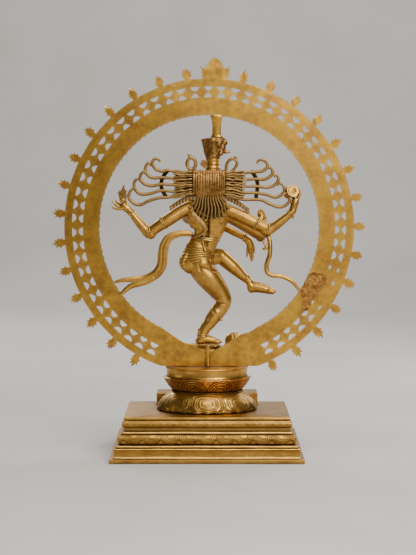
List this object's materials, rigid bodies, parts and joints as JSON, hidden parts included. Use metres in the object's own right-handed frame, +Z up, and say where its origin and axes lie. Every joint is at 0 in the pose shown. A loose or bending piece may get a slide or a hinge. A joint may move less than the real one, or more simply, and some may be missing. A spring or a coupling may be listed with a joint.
{
  "type": "dancing deity statue",
  "caption": "Cast brass dancing figure with many arms, inside an openwork ring of flames, on an oval lotus pedestal and a stepped rectangular base.",
  "frame": {"origin": "middle of the underside of the base", "axes": "+Z up, +Y the way the figure faces, +X its own right-hand side"},
  "size_m": [0.6106, 0.27, 0.767],
  "materials": {
    "satin_brass": "satin, rubbed by hand",
    "antique_brass": "aged, brown in the recesses",
    "polished_brass": "polished, lightly toned",
    "brazed_copper": "brazed and darkened",
    "ring_brass": "as cast, brushed, gold on the faces and brown between"
  },
  "bodies": {
    "root": {"base_foot": "satin_brass", "base_fascia": "satin_brass", "base_ledge": "satin_brass", "base_lotus_moulding": "satin_brass", "base_fillet": "satin_brass", "base_neck": "antique_brass", "base_round_moulding": "satin_brass", "base_top_plate": "satin_brass", "lotus_lower_petals": "polished_brass", "lotus_waist_cord": "polished_brass", "lotus_upper_petals": "polished_brass", "pedestal_drum": "polished_brass", "front_block": "satin_brass", "tie_rod": "brazed_copper", "tie_nut": "brazed_copper", "flame_ring": "ring_brass", "top_flame": "ring_brass", "ring_repair_patch": "ring_brass", "crown_strut": "ring_brass", "dwarf_body": "antique_brass", "dwarf_head": "antique_brass", "dwarf_arms": "antique_brass", "dwarf_legs": "antique_brass", "torso": "polished_brass", "head": "polished_brass", "neck": "polished_brass", "crown_collar": "antique_brass", "tall_crown": "antique_brass", "hair_band": "antique_brass", "rear_right_upper_arm": "polished_brass", "rear_right_forearm": "polished_brass", "rear_left_upper_arm": "polished_brass", "rear_left_forearm": "polished_brass", "front_right_upper_arm": "polished_brass", "front_right_forearm": "polished_brass", "front_left_upper_arm": "polished_brass", "front_left_forearm": "polished_brass", "hand_with_drum": "polished_brass", "drum": "polished_brass", "hand_with_fire": "polished_brass", "fire_in_hand": "antique_brass", "blessing_hand": "polished_brass", "pointing_hand": "polished_brass", "standing_thigh": "polished_brass", "standing_shin": "polished_brass", "standing_foot": "polished_brass", "raised_thigh": "polished_brass", "raised_shin": "polished_brass", "raised_foot": "polished_brass", "support_post": "brazed_copper", "waist_cloth": "polished_brass", "waist_belt": "polished_brass", "sacred_thread": "polished_brass", "scarf": "polished_brass", "arm_serpent": "polished_brass", "hair_wing_right": "antique_brass", "hair_wing_left": "antique_brass", "crest_loop_left": "antique_brass", "crest_loop_right": "antique_brass", "nape_locks": "antique_brass"}
  },
  "joints": []
}
